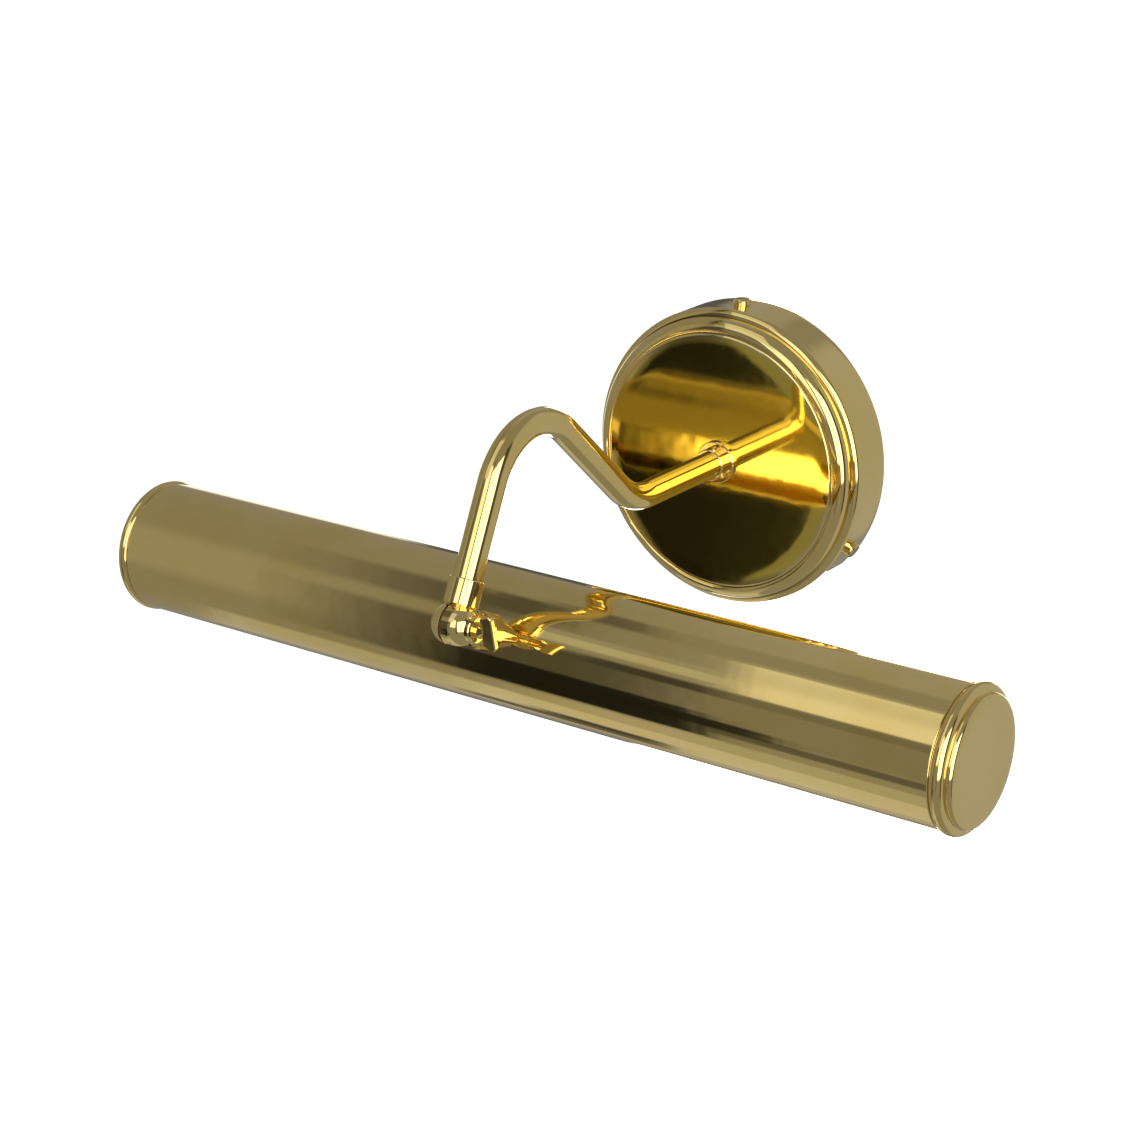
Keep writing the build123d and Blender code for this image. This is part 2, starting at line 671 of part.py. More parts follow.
def holder_bracket():
    """U-shaped bracket: its bridge is clamped by the nut and its legs take the holders."""
    top = PIVOT_TO_SHADE - WASHER_FLAT
    foot = -9.0
    bridge = Pos(0, 0, top - BRACKET_T / 2) * Box(2 * BRACKET_HALF, BRACKET_WIDTH, BRACKET_T)
    bracket = bridge
    for side in (-1, 1):
        place = Pos(side * (BRACKET_HALF - BRACKET_T / 2), 0, (top + foot) / 2)
        bracket += place * Box(BRACKET_T, BRACKET_WIDTH, top - foot)
    bracket -= rod_x(HOLDER_NIPPLE_R + FIT_GAP, -BRACKET_HALF - 1, BRACKET_HALF + 1)
    bracket -= disc(NIPPLE_R + FIT_GAP, 0, top + 1)
    return IN_SHADE * bracket


def both_sides(solid):
    """A solid built on the +X side and its mirror image, both placed in the shade."""
    return [IN_SHADE * mirror(solid, about=Plane.YZ), IN_SHADE * solid]


def holder_nipples():
    """Short hollow nipples that join the lampholders to the bracket's legs."""
    start, end = 13.5, HOLDER_NIPPLE_END
    bore = rod_x(HOLDER_NIPPLE_BORE_R, start - 1, end + 1)
    return both_sides(rod_x(HOLDER_NIPPLE_R, start, end) - bore)


def holder_nuts():
    """Nuts on the inner side of the bracket's legs."""
    inner = BRACKET_HALF - BRACKET_T
    nut = along_x(hexagon(13.0, inner - 3.0, inner)) - rod_x(HOLDER_NIPPLE_R + FIT_GAP, 0, 30)
    return both_sides(nut)


def lampholder(side):
    """Insulated lampholder: a ribbed barrel with a socket towards the lamp."""
    end = BRACKET_HALF + HOLDER_LENGTH
    neck = BRACKET_HALF + 4.0
    body = turned_points(
        (0, BRACKET_HALF),
        (8.0, BRACKET_HALF),
        (HOLDER_R - 1, neck),
        (HOLDER_R, neck + 1),
        (HOLDER_R, end - 1),
        (HOLDER_R - 1, end),
        (0, end),
    )
    for groove in (neck + 6, neck + 9, neck + 12):
        floor = disc(HOLDER_R - 0.7, groove - 1, groove + 2)
        body -= disc(HOLDER_R + 1, groove, groove + 1.2) - floor
    body = along_x(body)
    body -= rod_x(SOCKET_R, SOCKET_START, end + 1)
    body -= rod_x(HOLDER_NIPPLE_R + FIT_GAP, BRACKET_HALF - 1, HOLDER_NIPPLE_END)
    body -= rod_x(HOLDER_NIPPLE_BORE_R, HOLDER_NIPPLE_END - 1, SOCKET_START + 1)
    if side < 0:
        body = mirror(body, about=Plane.YZ)
    return IN_SHADE * body


def socket_shells():
    """Metal shells inside the lampholders, which the lamps' caps screw into."""
    start, end = SOCKET_START + 1.0, BRACKET_HALF + HOLDER_LENGTH - 5.0
    shell = rod_x(SOCKET_R - FIT_GAP, start, end) - rod_x(SOCKET_R - SHELL_T, start - 1, end + 1)
    return both_sides(shell)


def lamp_cap(side):
    """Threaded lamp cap with its centre contact."""
    cap = along_x(
        turned_points(
            (0, CAP_START_X - 1.5),
            (2.0, CAP_START_X - 1.5),
            (2.4, CAP_START_X),
            (4.5, CAP_START_X),
            (LAMP_CAP_R, CAP_START_X + 3),
            (LAMP_CAP_R, CAP_END_X),
            (0, CAP_END_X),
        )
    )
    if side < 0:
        cap = mirror(cap, about=Plane.YZ)
    return IN_SHADE * cap


def lamp_envelope(shrink=0.0):
    """Solid shape of the lamp's glass along Z, or of the space inside it."""
    neck_r = LAMP_CAP_R - shrink
    body_r = LAMP_R - shrink
    start = CAP_END_X + shrink
    tip = LAMP_TIP_X - shrink
    shoulder = CAP_END_X + 8.0
    dome = LAMP_TIP_X - LAMP_R
    diagonal = body_r * cos(radians(45))
    return turned(
        Line((0, start), (neck_r, start)),
        Line((neck_r, start), (body_r, shoulder)),
        Line((body_r, shoulder), (body_r, dome)),
        ThreePointArc((body_r, dome), (diagonal, dome + diagonal), (0, tip)),
        Line((0, tip), (0, start)),
    )


def lamp_glass(side):
    """Tubular glass envelope, hollow, with a domed tip and a neck down to its cap."""
    glass = along_x(lamp_envelope() - lamp_envelope(GLASS_T))
    if side < 0:
        glass = mirror(glass, about=Plane.YZ)
    return IN_SHADE * glass


def shade_leads():
    """Four leads down the hollow nipple, two to each lampholder."""
    leads = []
    pitch = 1.1
    top = PIVOT_TO_SHADE - NECK_END
    for side in (-1, 1):
        for row in (-1, 1):
            route = [
                (side * pitch, row * pitch, top),
                (side * pitch, row * pitch, 0),
                (side * (SOCKET_START - 1.0), row * pitch, 0),
            ]
            leads.append(IN_SHADE * wire(LEAD_R, route, [7.0]))
    return leads


# ---- the whole light ----------------------------------------------------------------

NODES = {
    "wall_plate": wall_plate,
    "wall_cup": wall_cup,
    "cup_side_screws": cup_side_screws,
    "terminal_block": terminal_block,
    "terminal_screws": terminal_screws,
    "block_screw": block_screw,
    "earth_tag": earth_tag,
    "earth_screw": earth_screw,
    "arm_leads": arm_leads,
    "arm_tube": arm_tube,
    "arm_collar": arm_collar,
    "collar_set_screws": collar_set_screws,
    "arm_washer": arm_washer,
    "arm_lock_nut": arm_lock_nut,
    "arm_bush": arm_bush,
    "knuckle_upper": knuckle_upper,
    "knuckle_lower": knuckle_lower,
    "friction_washer": friction_washer,
    "wing_washer": wing_washer,
    "wing_screw": wing_screw,
    "shade_saddle": shade_saddle,
    "shade_nipple": shade_nipple,
    "shade_washer": shade_washer,
    "shade_lock_nut": shade_lock_nut,
    "shade_tube": shade_tube,
    "end_cap_left": lambda: end_cap(-1),
    "end_cap_right": lambda: end_cap(1),
    "holder_bracket": holder_bracket,
    "holder_nipples": holder_nipples,
    "holder_nuts": holder_nuts,
    "lampholder_left": lambda: lampholder(-1),
    "lampholder_right": lambda: lampholder(1),
    "socket_shells": socket_shells,
    "lamp_cap_left": lambda: lamp_cap(-1),
    "lamp_cap_right": lambda: lamp_cap(1),
    "lamp_glass_left": lambda: lamp_glass(-1),
    "lamp_glass_right": lambda: lamp_glass(1),
    "shade_leads": shade_leads,
}

os.makedirs("parts", exist_ok=True)
for node, make in NODES.items():
    made = make()
    solids = made if isinstance(made, list) else [made]
    flat = [solid for shape in solids for solid in shape.solids()]
    export_step(Compound(flat) if len(flat) > 1 else flat[0], f"parts/{node}.step")
    print(node, "solids", len(flat), "volume", round(sum(solid.volume for solid in flat), 1))
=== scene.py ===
import json
import math

import bmesh
import bpy
from mathutils import Matrix, Vector


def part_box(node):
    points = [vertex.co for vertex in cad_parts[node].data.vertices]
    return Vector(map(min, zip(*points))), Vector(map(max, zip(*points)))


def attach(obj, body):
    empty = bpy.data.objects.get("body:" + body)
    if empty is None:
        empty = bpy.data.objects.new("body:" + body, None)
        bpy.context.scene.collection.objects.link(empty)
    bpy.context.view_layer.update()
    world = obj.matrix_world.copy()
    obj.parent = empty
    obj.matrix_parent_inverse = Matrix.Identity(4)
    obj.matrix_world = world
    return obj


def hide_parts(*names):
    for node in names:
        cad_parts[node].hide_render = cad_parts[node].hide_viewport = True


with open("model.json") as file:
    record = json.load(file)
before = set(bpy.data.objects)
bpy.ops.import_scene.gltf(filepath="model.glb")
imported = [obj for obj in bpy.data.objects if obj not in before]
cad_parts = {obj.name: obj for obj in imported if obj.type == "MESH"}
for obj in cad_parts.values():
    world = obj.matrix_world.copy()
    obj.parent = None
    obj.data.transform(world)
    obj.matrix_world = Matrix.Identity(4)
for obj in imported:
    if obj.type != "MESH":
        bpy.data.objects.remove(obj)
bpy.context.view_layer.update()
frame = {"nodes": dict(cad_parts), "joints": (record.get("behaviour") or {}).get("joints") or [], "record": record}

# Picture light in polished brass: looks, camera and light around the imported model.
# Outlines below are in millimetres in the row frame; MM turns them into metres.
MM = 0.001


# ---- places and sizes from the frame -------------------------------------------------


def node_span(node):
    """Lowest and highest corner of a CAD node, in millimetres."""
    low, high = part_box(node)
    return low / MM, high / MM


CUP_LOW, CUP_HIGH = node_span("wall_cup")
CUP_R = (CUP_HIGH.x - CUP_LOW.x) / 2
CUP_DEPTH = -CUP_LOW.y
TUBE_LOW, TUBE_HIGH = node_span("shade_tube")
SHADE_R = (TUBE_HIGH.z - TUBE_LOW.z) / 2
SHADE_Y = (TUBE_LOW.y + TUBE_HIGH.y) / 2
SHADE_Z = (TUBE_LOW.z + TUBE_HIGH.z) / 2
TUBE_HALF = TUBE_HIGH.x
SHADE_END = node_span("end_cap_right")[1].x
ARM_LOW, ARM_HIGH = node_span("arm_tube")
ARM_R = ARM_HIGH.x
HINGE = next(joint for joint in frame["joints"] if joint["name"] == "shade_tilt")
PIVOT = Vector(HINGE["pos_m"]) / MM

SKIN = 0.8  # wall of the shade tube
CUP_SKIN = 1.0
ARM_SKIN = 1.0
ARM_BEND_Y = -82.9
CROWN = (-150.0, 60.3)  # y and z of the crown's corner, before rounding
ARM_BENDS = (28.0, 26.0)  # radii of the bend and the crown
ARM_IN_SLEEVE = 7.0  # the arm's end, from the knuckle's pivot
SLOT_HALF_LENGTH = 158.0
SLOT_FROM, SLOT_TO = 263, 347  # degrees from +Y towards +Z
FLOOR_LEVEL, FLOOR_HALF = -420, 6000
SHARP = math.radians(38)  # faces that meet at more than this angle keep a crisp edge


# ---- mesh building -------------------------------------------------------------------


def arc(start, end, bulge, steps=10):
    """Points from start to end on an arc whose middle stands bulge to the left of the chord."""
    a, b = Vector(start), Vector(end)
    chord = b - a
    half = chord.length / 2
    left = Vector((-chord.y, chord.x)).normalized()
    radius = (half * half + bulge * bulge) / (2 * abs(bulge))
    sign = 1 if bulge > 0 else -1
    centre = (a + b) / 2 + left * (bulge - sign * radius)
    first = math.atan2(a.y - centre.y, a.x - centre.x)
    sweep = -sign * 2 * math.asin(min(1.0, half / radius))
    if abs(bulge) > half:
        sweep = -sign * (2 * math.pi - abs(sweep))
    points = []
    for i in range(steps + 1):
        angle = first + sweep * i / steps
        points.append((centre.x + radius * math.cos(angle), centre.y + radius * math.sin(angle)))
    return points


def new_object(name, mesh_builder):
    """Object from a bmesh in millimetres, smooth except where faces meet at a sharp angle."""
    mesh = bpy.data.meshes.new(name)
    mesh_builder.normal_update()
    bmesh.ops.recalc_face_normals(mesh_builder, faces=mesh_builder.faces)
    for edge in mesh_builder.edges:
        if len(edge.link_faces) == 2:
            edge.smooth = edge.calc_face_angle(0) < SHARP
    for face in mesh_builder.faces:
        face.smooth = True
    bmesh.ops.scale(mesh_builder, vec=(MM, MM, MM), verts=mesh_builder.verts)
    mesh_builder.to_mesh(mesh)
    mesh_builder.free()
    piece = bpy.data.objects.new(name, mesh)
    bpy.context.scene.collection.objects.link(piece)
    return piece


def turned(name, outline, place, segments=192):
    """Closed surface turned about the Z axis of place from an outline of (radius, height)."""
    built = bmesh.new()
    rings = []
    for radius, height in outline:
        if radius < 1e-6:
            rings.append([built.verts.new(place @ Vector((0, 0, height)))])
            continue
        ring = []
        for i in range(segments):
            angle = 2 * math.pi * i / segments
            local = Vector((radius * math.cos(angle), radius * math.sin(angle), height))
            ring.append(built.verts.new(place @ local))
        rings.append(ring)
    for low, high in zip(rings, rings[1:] + rings[:1]):
        if len(low) == 1 and len(high) == 1:
            continue
        for i in range(segments):
            j = (i + 1) % segments
            corners = [low[i % len(low)], low[j % len(low)], high[j % len(high)], high[i % len(high)]]
            unique = [v for k, v in enumerate(corners) if v not in corners[:k]]
            if len(unique) > 2:
                built.faces.new(unique)
    return new_object(name, built)


def frame_at(origin, axis, side=Vector((1, 0, 0))):
    """Matrix whose origin is at origin, with +Z along axis and +X close to side."""
    z = Vector(axis).normalized()
    x = (side - z * side.dot(z)).normalized()
    y = z.cross(x)
    turn = Matrix((x, y, z)).transposed().to_4x4()
    return Matrix.Translation(origin) @ turn


def bent_route(corners, radii, step=math.radians(1.5)):
    """Points along straight runs joined by tangent arcs, for a tube."""
    route = [Vector(corners[0])]
    for before, corner, after, radius in zip(corners, corners[1:], corners[2:], radii):
        p = Vector(corner)
        back = (Vector(before) - p).normalized()
        ahead = (Vector(after) - p).normalized()
        opening = back.angle(ahead)
        reach = radius / math.tan(opening / 2)
        centre = p + (back + ahead).normalized() * radius / math.sin(opening / 2)
        first = p + back * reach - centre
        last = p + ahead * reach - centre
        count = max(4, int((math.pi - opening) / step))
        for i in range(count + 1):
            route.append(centre + first.normalized().slerp(last.normalized(), i / count) * radius)
    route.append(Vector(corners[-1]))
    return route


def tube_along(name, route, outer, inner, segments=96):
    """Hollow tube along a route in the YZ plane, with its open ends rimmed."""
    built = bmesh.new()
    sideways = Vector((1, 0, 0))
    loops = []
    for i, point in enumerate(route):
        ahead = (route[min(i + 1, len(route) - 1)] - route[max(i - 1, 0)]).normalized()
        upward = sideways.cross(ahead).normalized()
        loop = []
        for radius in (outer, inner):
            ring = []
            for k in range(segments):
                angle = 2 * math.pi * k / segments
                spoke = sideways * math.cos(angle) + upward * math.sin(angle)
                ring.append(built.verts.new(point + spoke * radius))
            loop.append(ring)
        loops.append(loop)
    for here, there in zip(loops, loops[1:]):
        for which in (0, 1):
            for k in range(segments):
                j = (k + 1) % segments
                built.faces.new((here[which][k], here[which][j], there[which][j], there[which][k]))
    for outer_ring, inner_ring in (loops[0], loops[-1]):
        for k in range(segments):
            j = (k + 1) % segments
            built.faces.new((outer_ring[k], outer_ring[j], inner_ring[j], inner_ring[k]))
    return new_object(name, built)


# ---- node material helpers -----------------------------------------------------------


class Nodes:
    """A small wrapper that makes shader nodes and joins them."""

    def __init__(self, tree):
        self.tree = tree
        tree.nodes.clear()

    def add(self, kind, **settings):
        """New node of a kind, with its settings."""
        node = self.tree.nodes.new(kind)
        for key, value in settings.items():
            setattr(node, key, value)
        return node

    def join(self, source, target):
        """Link from an output to an input."""
        self.tree.links.new(source, target)

    def math(self, operation, first, second=None):
        """Result of a math node on two values, each a number or an output."""
        node = self.add("ShaderNodeMath", operation=operation)
        for slot, value in ((0, first), (1, second)):
            if value is None:
                continue
            if isinstance(value, (int, float)):
                node.inputs[slot].default_value = value
            else:
                self.join(value, node.inputs[slot])
        return node.outputs[0]

    def ranged(self, value, low, high):
        """Maps a 0 to 1 value onto low to high."""
        return self.math("ADD", self.math("MULTIPLY", value, high - low), low)

    def inside(self, value, low, high, soft):
        """1 between low and high, 0 outside, with soft edges."""
        rising = self.smooth(value, low - soft / 2, low + soft / 2)
        falling = self.smooth(value, high - soft / 2, high + soft / 2)
        return self.math("MULTIPLY", rising, self.math("SUBTRACT", 1.0, falling))

    def blend(self, level, value, mask):
        """level outside the mask and value inside it."""
        keep = self.math("MULTIPLY", level, self.math("SUBTRACT", 1.0, mask))
        return self.math("ADD", keep, self.math("MULTIPLY", mask, value))

    def dot(self, vector, direction):
        """Part of a vector along a direction."""
        node = self.add("ShaderNodeVectorMath", operation="DOT_PRODUCT")
        self.join(vector, node.inputs[0])
        node.inputs[1].default_value = direction
        return node.outputs["Value"]

    def smooth(self, value, low, high):
        """0 below low, 1 above high, smooth between."""
        node = self.add("ShaderNodeMapRange", interpolation_type="SMOOTHSTEP")
        self.join(value, node.inputs["Value"])
        node.inputs["From Min"].default_value = low
        node.inputs["From Max"].default_value = high
        return node.outputs["Result"]

    def noise(self, vector, scale, detail=3.0, rough=0.55):
        """Noise from 0 to 1, with about scale bumps to the metre."""
        node = self.add("ShaderNodeTexNoise")
        self.join(vector, node.inputs["Vector"])
        node.inputs["Scale"].default_value = scale
        node.inputs["Detail"].default_value = detail
        node.inputs["Roughness"].default_value = rough
        return node.outputs["Fac"]

    def stretch(self, vector, scale):
        """Vector scaled along each axis."""
        node = self.add("ShaderNodeMapping")
        self.join(vector, node.inputs["Vector"])
        node.inputs["Scale"].default_value = scale
        return node.outputs["Vector"]

    def mix(self, factor, first, second):
        """Colour between two, each a colour or an output."""
        node = self.add("ShaderNodeMix", data_type="RGBA")
        self.join(factor, node.inputs["Factor"])
        for slot, value in ((6, first), (7, second)):
            if isinstance(value, tuple):
                node.inputs[slot].default_value = value
            else:
                self.join(value, node.inputs[slot])
        return node.outputs[2]

    def bump(self, height, strength, distance, normal=None):
        """Normal roughened by a height, on top of another if one is given."""
        node = self.add("ShaderNodeBump")
        self.join(height, node.inputs["Height"])
        node.inputs["Strength"].default_value = strength
        node.inputs["Distance"].default_value = distance
        if normal is not None:
            self.join(normal, node.inputs["Normal"])
        return node.outputs["Normal"]


def new_material(name):
    """New material with its shader joined up, and the object's own coordinates."""
    material = bpy.data.materials.new(name)
    material.use_nodes = True
    nodes = Nodes(material.node_tree)
    shader = nodes.add("ShaderNodeBsdfPrincipled")
    output = nodes.add("ShaderNodeOutputMaterial")
    nodes.join(shader.outputs["BSDF"], output.inputs["Surface"])
    place = nodes.add("ShaderNodeTexCoord").outputs["Object"]
    return material, nodes, shader, place


def brass(name, pale, deep, low_rough, high_rough, grain, waviness, face=None):
    """Polished brass: faint tarnish, buffing marks along the grain and gentle waviness.

    face is the radius about Y, in metres, inside which the brass is tinted deeper orange, and that tint: partly
    painted reflection colour of the brass the face mirrors, partly a guessed deeper lacquer.
    """
    material, nodes, shader, place = new_material(name)
    cloud = nodes.noise(place, 38, detail=4)
    fleck = nodes.noise(place, 900, detail=2)
    tarnish = nodes.smooth(cloud, 0.35, 0.75)
    tint = nodes.mix(tarnish, pale, deep)
    if face:
        radius, lacquer_and_reflection = face
        # inside the face radius the brass is tinted deeper orange: partly painted reflection colour, partly a
        # guessed deeper lacquer
        spread = nodes.add("ShaderNodeVectorMath", operation="LENGTH")
        nodes.join(nodes.stretch(place, (1, 0, 1)), spread.inputs[0])
        outside = nodes.smooth(spread.outputs["Value"], radius - 0.001, radius + 0.001)
        tint = nodes.mix(outside, lacquer_and_reflection, tint)
    nodes.join(tint, shader.inputs["Base Color"])
    shader.inputs["Metallic"].default_value = 1.0
    buff = nodes.noise(nodes.stretch(place, grain), 700, detail=3, rough=0.6)
    haze = nodes.math("MULTIPLY", nodes.math("ADD", buff, cloud), 0.5)
    nodes.join(nodes.ranged(haze, low_rough, high_rough), shader.inputs["Roughness"])
    wave = nodes.noise(place, 120, detail=1)
    soft = nodes.bump(wave, waviness, 0.0004)
    scratch = nodes.smooth(buff, 0.62, 0.70)
    fine = nodes.bump(scratch, 0.05, 0.00001, soft)
    speck = nodes.smooth(fleck, 0.74, 0.80)
    nodes.join(nodes.bump(speck, 0.06, 0.00002, fine), shader.inputs["Normal"])
    return material


def plated_steel(name, base, dark):
    """Zinc plate: mottled, satin, with fine scratches."""
    material, nodes, shader, place = new_material(name)
    spangle = nodes.add("ShaderNodeTexVoronoi", feature="F1")
    nodes.join(place, spangle.inputs["Vector"])
    spangle.inputs["Scale"].default_value = 420
    cloud = nodes.noise(place, 60, detail=5)
    mottled = nodes.math("MULTIPLY", nodes.math("ADD", spangle.outputs["Distance"], cloud), 0.6)
    nodes.join(nodes.mix(mottled, base, dark), shader.inputs["Base Color"])
    shader.inputs["Metallic"].default_value = 1.0
    nodes.join(nodes.ranged(cloud, 0.28, 0.5), shader.inputs["Roughness"])
    scratch = nodes.noise(nodes.stretch(place, (1, 30, 1)), 300, detail=2)
    nodes.join(nodes.bump(scratch, 0.25, 0.00002), shader.inputs["Normal"])
    return material


def moulded(name, base, worn, roughness, coat=0.0):
    """Moulded plastic: slight colour drift, fine moulding texture and handling marks."""
    material, nodes, shader, place = new_material(name)
    cloud = nodes.noise(place, 70, detail=4)
    nodes.join(nodes.mix(nodes.smooth(cloud, 0.4, 0.8), base, worn), shader.inputs["Base Color"])
    pore = nodes.noise(place, 2600, detail=2)
    nodes.join(nodes.ranged(cloud, roughness - 0.08, roughness + 0.1), shader.inputs["Roughness"])
    nodes.join(nodes.bump(pore, 0.2, 0.00002), shader.inputs["Normal"])
    shader.inputs["Coat Weight"].default_value = coat
    return material


def fibre(name):
    """Pressed fibre with short strands: red-brown fibre colour, darkened well below its own tone as painted shade
    of the seam between the knuckle halves.
    """
    material, nodes, shader, place = new_material(name)
    strand = nodes.noise(nodes.stretch(place, (1, 9, 2)), 900, detail=4)
    # both tints are darker than the fibre itself: painted shade of the gap between the knuckle halves
    tint = nodes.mix(strand, (0.07, 0.03, 0.02, 1), (0.16, 0.07, 0.045, 1))
    nodes.join(tint, shader.inputs["Base Color"])
    shader.inputs["Roughness"].default_value = 0.75
    nodes.join(nodes.bump(strand, 0.4, 0.00004), shader.inputs["Normal"])
    return material


def lamp_glass(name):
    """Clear glass with a faint smear that shows in its roughness."""
    material, nodes, shader, place = new_material(name)
    smear = nodes.noise(nodes.stretch(place, (0.4, 1, 1)), 50, detail=3)
    shader.inputs["Base Color"].default_value = (0.98, 0.98, 0.96, 1)
    shader.inputs["Transmission Weight"].default_value = 1.0
    shader.inputs["IOR"].default_value = 1.47
    nodes.join(nodes.ranged(smear, 0.0, 0.06), shader.inputs["Roughness"])
    nodes.join(nodes.bump(smear, 0.02, 0.0002), shader.inputs["Normal"])
    return material


def hot_wire(name):
    """Lamp filament: dull tungsten."""
    material, nodes, shader, place = new_material(name)
    grain = nodes.noise(place, 4000, detail=2)
    tint = nodes.mix(grain, (0.30, 0.29, 0.28, 1), (0.52, 0.50, 0.48, 1))
    nodes.join(tint, shader.inputs["Base Color"])
    shader.inputs["Metallic"].default_value = 1.0
    shader.inputs["Roughness"].default_value = 0.4
    return material


PALE_BRASS = (0.900, 0.705, 0.285, 1)
DEEP_BRASS = (0.870, 0.650, 0.225, 1)
LENGTHWISE = (0.04, 1.0, 1.0)  # stretches buffing marks along X
ROUND = (1.0, 1.0, 1.0)

SHADE_BRASS = brass("brass_shade", PALE_BRASS, DEEP_BRASS, 0.03, 0.10, LENGTHWISE, 0.04)
# deeper orange tint for the cup's flat face: partly painted reflection colour of the mirrored brass, partly a
# guessed deeper lacquer
FACE_LACQUER_AND_REFLECTION = ((CUP_R - 10) * MM, (0.930, 0.680, 0.120, 1))
CUP_BRASS = brass("brass_cup", PALE_BRASS, DEEP_BRASS, 0.03, 0.10, ROUND, 0.05, FACE_LACQUER_AND_REFLECTION)
ARM_BRASS = brass("brass_arm", PALE_BRASS, DEEP_BRASS, 0.03, 0.08, (1.0, 0.2, 0.2), 0.06)
SMALL_BRASS = brass("brass_turned", PALE_BRASS, DEEP_BRASS, 0.03, 0.10, ROUND, 0.06)
PLAIN_BRASS = brass("brass_plain", (0.78, 0.58, 0.26, 1), (0.58, 0.40, 0.16, 1), 0.22, 0.42, ROUND, 0.2)
ZINC = plated_steel("zinc_plate", (0.66, 0.67, 0.68, 1), (0.42, 0.43, 0.46, 1))
NYLON = moulded("nylon_white", (0.80, 0.79, 0.74, 1), (0.70, 0.68, 0.60, 1), 0.42)
PHENOLIC = moulded("phenolic_black", (0.020, 0.019, 0.018, 1), (0.05, 0.045, 0.04, 1), 0.25, coat=0.3)
LEAD_SKIN = moulded("lead_insulation", (0.14, 0.16, 0.20, 1), (0.24, 0.26, 0.30, 1), 0.45)
FIBRE_WITH_SEAM_SHADE = fibre("fibre_red_with_painted_seam_shade")
CAP_METAL = plated_steel("lamp_cap_metal", (0.80, 0.80, 0.79, 1), (0.62, 0.62, 0.60, 1))
GLASS = lamp_glass("lamp_glass_clear")
WIRE = hot_wire("filament_wire")

LOOKS = {
    "polished_brass": SMALL_BRASS,
    "plain_brass": PLAIN_BRASS,
    "zinc_steel": ZINC,
    "white_nylon": NYLON,
    "black_phenolic": PHENOLIC,
    "lead_insulation": LEAD_SKIN,
    "fibre": FIBRE_WITH_SEAM_SHADE,
    "lamp_cap_metal": CAP_METAL,
    "lamp_glass": GLASS,
}


def paint(piece, material):
    """Gives a piece one material."""
    piece.data.materials.clear()
    piece.data.materials.append(material)


# ---- CAD nodes that stay -------------------------------------------------------------


def smooth_cad_nodes():
    """Gives every CAD node its finish and smooth shading that stops at real edges."""
    for part in frame["record"]["subparts"]:
        node = frame["nodes"][part["node"]]
        paint(node, LOOKS[part["material_slot"]])
        for polygon in node.data.polygons:
            polygon.use_smooth = True
        node.modifiers.new("join", "WELD").merge_threshold = 0.001 * MM
        split = node.modifiers.new("edges", "EDGE_SPLIT")
        split.split_angle = SHARP
        node.modifiers.new("faces", "WEIGHTED_NORMAL").weight = 80


# ---- new pieces ----------------------------------------------------------------------


def finish_piece(piece, body, slot_name, material, *nodes):
    """Paints a piece, joins it to its body, and lets it replace CAD nodes. slot_name is not used."""
    paint(piece, material)
    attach(piece, body)
    if nodes:
        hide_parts(*nodes)
    return piece


def wall_cup():
    """Spun cup: rolled back edge, straight side, two beads, a cove and the flat face."""
    wall_end = CUP_DEPTH - 8.1
    step_r = CUP_R - 2.9
    step_depth = CUP_DEPTH - 5.1
    bead_r = CUP_R - 6.9
    face_r = CUP_R - 9.1
    hole_r = ARM_R + 0.05
    edge = 0.5
    ease = 0.25  # how far the mirror face falls away at its rim
    outside = [(CUP_R - 0.35, 0.0), (CUP_R - 0.1, 0.1), (CUP_R, 0.35)]
    outside += [(CUP_R, wall_end * k / 6) for k in range(1, 6)]
    outside += arc((CUP_R, wall_end), (step_r, step_depth), -1.0, steps=16)
    outside += arc((step_r, step_depth + edge), (bead_r, CUP_DEPTH - 0.1), -1.15, steps=18)
    outside += arc((bead_r, CUP_DEPTH - 0.1), (face_r, CUP_DEPTH - ease), 0.55, steps=12)[1:]
    for k in range(1, 9):
        share = k / 8
        outside.append((face_r - 6 * share, CUP_DEPTH - ease * (1 - share) ** 2))
    flat = [(CUP_R * 0.7 * k / 6, CUP_DEPTH) for k in range(6, 1, -1)] + [(hole_r, CUP_DEPTH)]
    inside = [(hole_r, CUP_DEPTH - CUP_SKIN), (face_r - 2, CUP_DEPTH - CUP_SKIN)]
    inside += [(bead_r - 1.4, CUP_DEPTH - 1.5), (step_r - 1.3, step_depth - 0.6)]
    inside += [(CUP_R - CUP_SKIN, wall_end - 1.0), (CUP_R - CUP_SKIN, 0.35), (CUP_R - 0.7, 0.0)]
    place = frame_at((0, 0, 0), (0, -1, 0))
    cup = turned("wall_cup_skin", outside + flat + inside, place, segments=256)
    return finish_piece(cup, "root", "polished_brass", CUP_BRASS, "wall_cup")


def arm_corners():
    """Corners of the arm's route: out of the cup, the bend, the crown and the sleeve."""
    crown = Vector((0, *CROWN))
    socket = Vector((0, PIVOT.y, PIVOT.z))
    up_leg = (crown - socket).normalized()
    return [
        Vector((0, ARM_HIGH.y, 0)),
        Vector((0, ARM_BEND_Y, 0)),
        crown,
        socket + up_leg * ARM_IN_SLEEVE,
    ]


def arm():
    """Bent tube from inside the cup to the knuckle's sleeve."""
    tube = tube_along("arm_skin", bent_route(arm_corners(), ARM_BENDS), ARM_R, ARM_R - ARM_SKIN)
    return finish_piece(tube, "root", "polished_brass", ARM_BRASS, "arm_tube")


